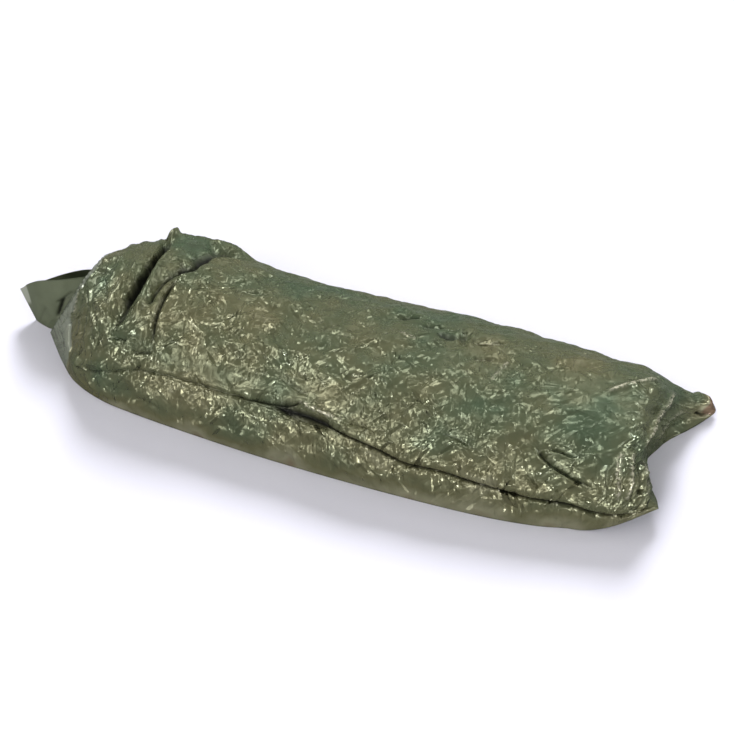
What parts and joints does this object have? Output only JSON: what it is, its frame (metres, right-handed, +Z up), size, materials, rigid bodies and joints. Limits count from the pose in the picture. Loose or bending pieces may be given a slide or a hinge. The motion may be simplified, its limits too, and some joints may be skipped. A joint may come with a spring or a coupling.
{
  "type": "emergency sleeping bag",
  "caption": "Hooded emergency sleeping bag of crinkled metallised film, lying full with an open mouth, a low welded side seam and a welded foot with two drawn-out corners.",
  "frame": {"origin": "on the ground, under the middle of the bag's box", "axes": "+X from the mouth to the foot, +Y away from the side with the low side weld, +Z up"},
  "size_m": [2.226, 0.7774, 0.3025],
  "materials": {
    "bag_film": "crinkled metallised film, olive green",
    "hood_film": "smooth satin film, olive green"
  },
  "bodies": {
    "root": {"bag_body": "bag_film", "hood": "hood_film"}
  },
  "joints": []
}
